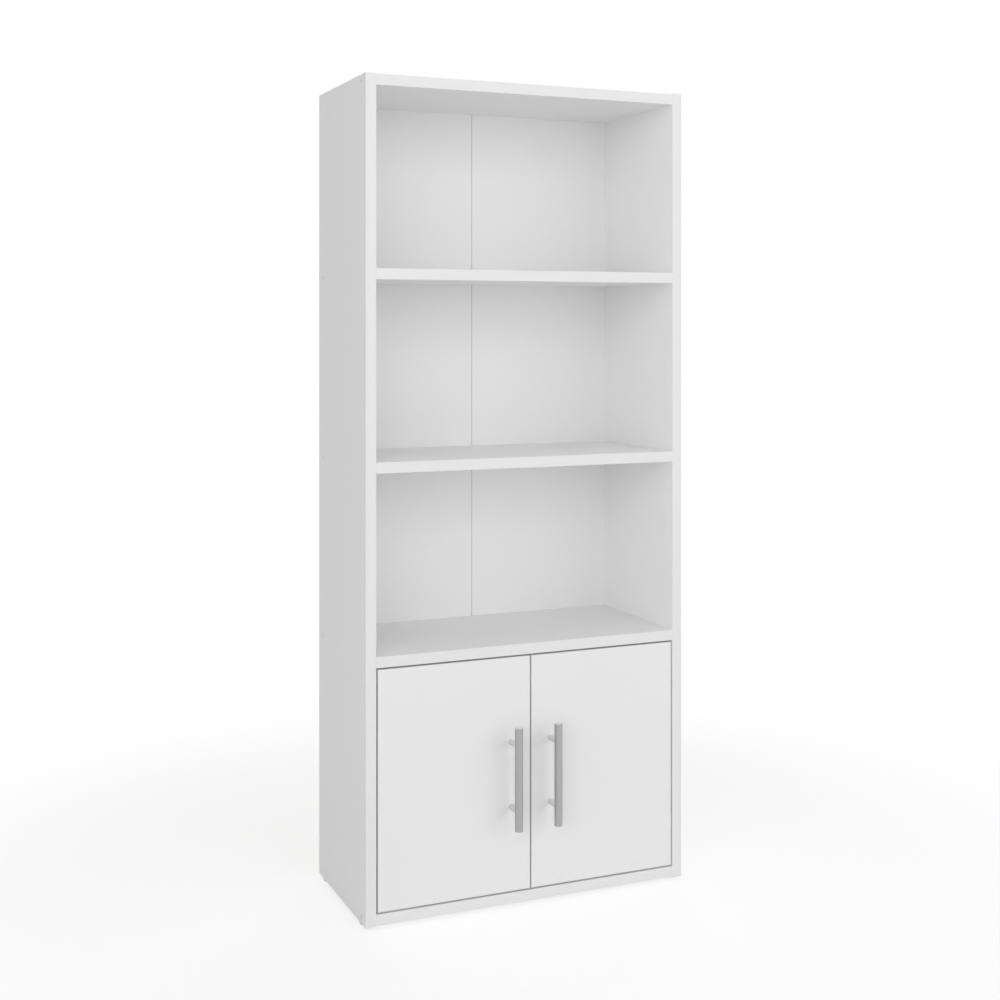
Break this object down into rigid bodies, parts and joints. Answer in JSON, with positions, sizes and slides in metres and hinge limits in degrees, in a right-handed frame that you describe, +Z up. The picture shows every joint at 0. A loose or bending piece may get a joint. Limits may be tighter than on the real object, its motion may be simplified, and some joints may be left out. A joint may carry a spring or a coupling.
{
  "type": "bookcase with cabinet doors",
  "caption": "Tall narrow bookcase with open shelves over a small cabinet closed by inset doors with upright bar handles.",
  "frame": {"origin": "on the floor, under the middle of the whole object with its handles", "axes": "+Z up, front with the doors faces -Y, +X to the right seen from the front"},
  "size_m": [0.516, 0.27, 1.224],
  "materials": {
    "white_board": "chipboard faced with white melamine, fine matt grain",
    "edge_banding": "white plastic edging, satin",
    "white_hardboard": "thin hardboard, white lacquer in front and bare brown behind",
    "back_tape": "thin white tape",
    "bright_wire": "bright drawn wire",
    "white_screw": "white lacquered head",
    "beech": "turned beech",
    "glide_plastic": "white polyethylene",
    "handle_steel": "lengthwise brushed, satin",
    "zinc_screw": "bright zinc plate",
    "nickel_steel": "nickel plated pressed steel",
    "catch_plastic": "white moulded plastic",
    "magnet": "dark sintered ferrite",
    "zinc_plate": "zinc plated sheet"
  },
  "bodies": {
    "carcass": {"back_pins": "bright_wire", "back_tape": "back_tape", "bottom_panel": "white_board", "carcass_dowels": "beech", "carcass_screws": "white_screw", "catch_housing": "catch_plastic", "catch_magnets": "magnet", "catch_pole_plates": "zinc_plate", "catch_screws": "zinc_screw", "front_left_glide": "glide_plastic", "front_right_glide": "glide_plastic", "glide_nails": "bright_wire", "hinge_arm_screws": "zinc_screw", "hinge_plate_screws": "zinc_screw", "left_back_leaf": "white_hardboard", "left_lower_hinge_arm": "nickel_steel", "left_lower_hinge_plate": "nickel_steel", "left_side": "white_board", "left_upper_hinge_arm": "nickel_steel", "left_upper_hinge_plate": "nickel_steel", "lower_shelf": "white_board", "middle_shelf": "white_board", "rear_left_glide": "glide_plastic", "rear_right_glide": "glide_plastic", "right_back_leaf": "white_hardboard", "right_lower_hinge_arm": "nickel_steel", "right_lower_hinge_plate": "nickel_steel", "right_side": "white_board", "right_upper_hinge_arm": "nickel_steel", "right_upper_hinge_plate": "nickel_steel", "shelf_edge_bands": "edge_banding", "side_edge_bands": "edge_banding", "top_panel": "white_board", "upper_shelf": "white_board"},
    "left_door": {"left_cup_screws": "zinc_screw", "left_door": "white_board", "left_door_edge_bands": "edge_banding", "left_handle_bar": "handle_steel", "left_handle_posts": "handle_steel", "left_handle_screws": "zinc_screw", "left_lower_hinge_cup": "nickel_steel", "left_lower_hinge_pin": "nickel_steel", "left_strike_plate": "zinc_plate", "left_strike_screw": "zinc_screw", "left_upper_hinge_cup": "nickel_steel", "left_upper_hinge_pin": "nickel_steel"},
    "right_door": {"right_cup_screws": "zinc_screw", "right_door": "white_board", "right_door_edge_bands": "edge_banding", "right_handle_bar": "handle_steel", "right_handle_posts": "handle_steel", "right_handle_screws": "zinc_screw", "right_lower_hinge_cup": "nickel_steel", "right_lower_hinge_pin": "nickel_steel", "right_strike_plate": "zinc_plate", "right_strike_screw": "zinc_screw", "right_upper_hinge_cup": "nickel_steel", "right_upper_hinge_pin": "nickel_steel"}
  },
  "joints": [
    {"name": "left_door_hinge", "type": "hinge", "parent": "carcass", "child": "left_door", "pos_m": [-0.2245, -0.092, 0.197], "axis": [0, 0, -1], "range_deg": [0, 100]},
    {"name": "right_door_hinge", "type": "hinge", "parent": "carcass", "child": "right_door", "pos_m": [0.2245, -0.092, 0.197], "axis": [0, 0, 1], "range_deg": [0, 100]}
  ]
}
